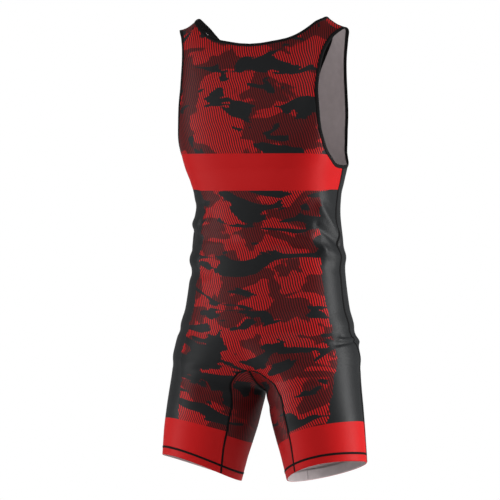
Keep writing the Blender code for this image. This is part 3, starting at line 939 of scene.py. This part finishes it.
def make_cloth(name, keys, outside):
    bm = bmesh.new()
    for key in keys:
        places, facts, fold_row = with_hem(key)
        table = shape_grid(bm, places, normals[key], facts)
        turned_up = set(table[fold_row:].flat)
        for face in {f for v in turned_up for f in v.link_faces}:
            if turned_up.issuperset(face.verts):
                face.material_index = 1
    bmesh.ops.remove_doubles(bm, verts=bm.verts, dist=SAME_POINT)
    area = sum(face.calc_area() for face in bm.faces)
    piece = finish_piece(name, bm, [outside, cloth_inside], KNIT_THICKNESS)
    print(name, "has", round(area, 3), "m2 of cloth with its hems")
    return piece


back, front = (
    make_cloth(f"{face}_panel_cloth", [(face, 1), (face, -1)], panel_cloth)
    for face in ("back", "front")
)
gussets = {
    side: make_cloth(f"gusset_{word}_cloth", [("gusset", side)], gusset_cloth)
    for side, word in SIDES.items()
}
print("two panels and two gussets")

# %% [markdown]
# ## Flat seams
#
# The pieces butt together under a flat cover stitch, which shows as a narrow black ribbon and
# doesn't rub. A ribbon is made from the cloth's own points on both sides of the seam. It stands
# less than a millimetre off the cloth's face, so that it follows every fold.

# %% Thread and tape (lengths in metres)
DARK_THREAD, LIGHT_THREAD = (0.0015, 0.0013, 0.0015, 1), (0.006, 0.0055, 0.006, 1)
TRIM_RELIEF, TRIM_STRENGTH = 0.00012, 0.8
THREAD_PITCH, ZIGZAG_WIDTH = 0.0021, 0.0026
TAPE_RIB, TAPE_STITCH, STITCH_LINE = 0.0011, 0.0031, 0.0012


def thread_finish():
    """Overlocking threads, which cross the ribbon in a fine zigzag."""
    finish = Finish("cover_thread", roughness=0.7, Specular_IOR_Level=0.1)
    across, along = finish.flat()
    lean = (across * (TURN / ZIGZAG_WIDTH)).sine() * 1.3
    zigzag = (along * (TURN / THREAD_PITCH) + lean).sine()
    finish.bump(zigzag, TRIM_RELIEF, TRIM_STRENGTH)
    finish.set("Base Color", finish.mix(zigzag * 0.5 + 0.5, DARK_THREAD, LIGHT_THREAD))
    return finish.material


def tape_finish():
    """Folded stretch tape: fine ribs along it and a row of stitches near the cloth's edge."""
    finish = Finish("binding_tape", roughness=0.65, Specular_IOR_Level=0.12)
    across, along = finish.flat()
    ribs = (across * (TURN / TAPE_RIB)).sine()
    pull = (along * (TURN / TAPE_STITCH)).sine()
    from_line = (across - STITCH_LINE).size()
    stitches = (1 - from_line.above(0.0006, 0.0002)) * pull.above(-0.2, 0.4)
    uneven = finish.noise(across, along, 5.0, 120.0, detail=2.0)
    finish.bump(ribs * 0.35 + stitches * 1.6 + uneven * 1.8, TRIM_RELIEF, TRIM_STRENGTH)
    finish.set("Base Color", finish.mix(uneven, DARK_THREAD, LIGHT_THREAD))
    return finish.material


thread, tape = thread_finish(), tape_finish()
print("thread", round(THREAD_PITCH / MM, 1), "mm a stitch")

# %% Ribbons, as (across, outwards) in millimetres
RIBBON = [(-2.9, 0.4), (-2.2, 1.0), (-1.0, 1.15), (0, 1.2), (1.0, 1.15), (2.2, 1.0), (2.9, 0.4)]
NARROW = [(x * 0.72, y) for x, y in RIBBON]
STITCH = [(-2.1, 0.5), (-1.6, 0.95), (0, 1.05), (1.6, 0.95), (2.1, 0.5)]


def unit(vectors):
    return vectors / np.maximum(np.linalg.norm(vectors, axis=-1, keepdims=True), 1e-9)


def distance_along(line):
    steps = np.linalg.norm(np.diff(line, axis=0), axis=1)
    return np.concatenate([[0.0], np.cumsum(steps)])


def make_ribbon(name, line, out, before, after, profile):
    """A ribbon on the cloth along a line, from neighbouring points on each of its sides."""
    rows = []
    for offset, height in profile:
        side = unit(after - line) if offset > 0 else unit(before - line)
        rows.append(line + side * abs(offset) + out * height)
    places = np.stack(rows, axis=1)
    along = np.broadcast_to(distance_along(line)[:, None], places.shape[:2])
    across = np.broadcast_to([offset for offset, _ in profile], places.shape[:2])
    outward = np.repeat(out[:, None], len(profile), axis=1)
    bm = bmesh.new()
    shape_grid(bm, places, outward, {"across": across * MM, "down": along * MM})
    bmesh.ops.remove_doubles(bm, verts=bm.verts, dist=SAME_POINT)
    return finish_piece(name, bm, [thread], RIBBON_THICKNESS)


print("ribbons", RIBBON[-1][0] - RIBBON[0][0], "mm wide")

# %% Side seams, gusset seams and shoulder seams
below_armhole = slice(ROWS.index(ARMHOLE_LOW), None)
below_arch = slice(ROWS.index(ARCH_TOP), None)
for side, word in SIDES.items():
    b, f, g = ("back", side), ("front", side), ("gusset", side)
    make_ribbon(
        f"side_seam_{word}", points[b][below_armhole, 0], normals[b][below_armhole, 0],
        points[f][below_armhole, 1], points[b][below_armhole, 1], RIBBON,
    )
    for key, beyond in ((b, 1), (f, -2)):
        panel, outward = points[key][below_arch], normals[key][below_arch]
        make_ribbon(
            f"gusset_seam_{key[0]}_{word}", panel[:, -1], outward[:, -1],
            panel[:, -2], points[g][:, beyond], NARROW,
        )
left, right = points["gusset", 1], points["gusset", -1]
make_ribbon(
    "crotch_seam", left[0], normals["gusset", 1][0], left[1], right[1], NARROW,
)
for side, word in SIDES.items():
    b, f = points["back", side], points["front", side]
    make_ribbon(
        f"shoulder_seam_{word}", b[0], normals["back", side][0], f[1], b[1], NARROW,
    )

# %% [markdown]
# ## Hem stitching
#
# The turned-up hem is held by a cover stitch that runs round the leg a little above the edge. Its
# line is found on every column of the three pieces that meet round the leg, so it stays level
# with the hem across the seams.

# %% Hem stitches
HEM_STITCH_UP = 13.0
BESIDE = 3.0  # how far away the points are that give a stitch its direction


def at_down(key, down):
    """Points, normals and the points just above and below, where each column is this far down."""
    downs = coordinates[key][..., 0]
    found = []
    for source, shift in ((points, 0.0), (normals, 0.0), (points, -BESIDE), (points, BESIDE)):
        grid = source[key]
        found.append(np.array([
            [np.interp(down + shift, downs[:, c], grid[:, c, k]) for k in range(3)]
            for c in range(grid.shape[1])
        ]))
    return found


for side, word in SIDES.items():
    level = HEM_DOWN - HEM_STITCH_UP
    first = [part[::-1] for part in at_down(("front", side), level)]
    others = [at_down((piece, side), level) for piece in ("back", "gusset")]
    line, out, above, below = (
        np.concatenate([first[k], *(other[k][1:] for other in others)]) for k in range(4)
    )
    make_ribbon(f"hem_stitch_{word}", line, unit(out), above, below, STITCH)
print("hem stitches", HEM_STITCH_UP, "mm above the edge")

# %% [markdown]
# ## Binding tape
#
# The neck and the armholes are bound with stretch tape, folded over the raw edge and stitched
# through. Its cut end is a flattened loop that reaches further inside than outside. That section
# is drawn across every point of the opening's edge, and the two ends of the grid are merged into
# a ring.

# %% The openings' edges
NECK_TAPE, ARMHOLE_TAPE = 5.1, 6.1  # beyond the cloth's edge
# The neck tape's wide inner half is partly a real facing and partly painted shade: dark tape laid
# where the inside of the front strap's top falls into shadow.
NECK_FACING_AND_SHADE, ARMHOLE_INSIDE = 10.0, 1.5  # how far the inner half reaches back onto the cloth


def tape_section(width, inside):
    """Folded over the cloth's edge: (beyond the edge, outwards), with a longer half inside."""
    bend = [(1.2, 1.35), (width * 0.5, 1.3), (width - 1.7, 1.2), (width - 0.5, 0.8)]
    under = [(beyond, -height) for beyond, height in bend[::-1]]
    inner_edge = [(-inside + 0.5, -1.15), (-inside, -0.7)]
    return [(-0.2, 0.6), (0.3, 1.15), *bend, (width, 0.0), *under, *inner_edge]


def edge_of(key, column, low, upwards):
    rows = [r for r, down in enumerate(ROWS) if down <= low]
    rows = rows[::-1] if upwards else rows
    return points[key][rows, column], normals[key][rows, column]


def make_tape(name, width, inside, parts):
    section = tape_section(width, inside)
    line = np.concatenate([p for p, _ in parts])
    out = np.concatenate([n for _, n in parts])
    keep = [i for i in range(len(line)) if np.linalg.norm(line[i] - line[i - 1]) > 1e-3]
    line, out = line[keep], out[keep]
    beyond = unit(np.cross(out, np.roll(line, -1, axis=0) - np.roll(line, 1, axis=0)))
    ring = np.stack([line + beyond * a + out * b for a, b in section], axis=1)
    ring = np.concatenate([ring, ring[:1]])
    ring = np.concatenate([ring, ring[:, :1]], axis=1)
    along = distance_along(np.concatenate([line, line[:1]]))
    lengths = [*(a for a, _ in section), section[0][0]]
    facts = {
        "across": np.broadcast_to(np.array(lengths) * MM, ring.shape[:2]),
        "down": np.broadcast_to(along[:, None] * MM, ring.shape[:2]),
    }
    outward = np.concatenate([out, out[:1]])
    bm = bmesh.new()
    shape_grid(bm, ring, np.repeat(outward[:, None], ring.shape[1], axis=1), facts)
    bmesh.ops.remove_doubles(bm, verts=bm.verts, dist=SAME_POINT)
    bmesh.ops.recalc_face_normals(bm, faces=bm.faces)
    return finish_piece(name, bm, [tape])


neck_tape = make_tape("neck_tape", NECK_TAPE, NECK_FACING_AND_SHADE, [
    edge_of(("back", 1), -1, BACK_NECK_LOW, False),
    edge_of(("back", -1), -1, BACK_NECK_LOW, True),
    edge_of(("front", -1), -1, FRONT_NECK_LOW, False),
    edge_of(("front", 1), -1, FRONT_NECK_LOW, True),
])
armhole_tapes = {
    side: make_tape(f"armhole_tape_{word}", ARMHOLE_TAPE, ARMHOLE_INSIDE, [
        edge_of(("back", side), 0, ARMHOLE_LOW, side > 0),
        edge_of(("front", side), 0, ARMHOLE_LOW, side < 0),
    ])
    for side, word in SIDES.items()
}
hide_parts("neck_binding")
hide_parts("armhole_binding_left")
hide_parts("armhole_binding_right")
print("tape round the neck and both armholes")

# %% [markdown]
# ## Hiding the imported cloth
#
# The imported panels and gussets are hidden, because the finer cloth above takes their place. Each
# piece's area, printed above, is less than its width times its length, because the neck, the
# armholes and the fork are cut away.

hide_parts("back_panel")
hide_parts("front_panel")
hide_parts("gusset_left")
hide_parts("gusset_right")
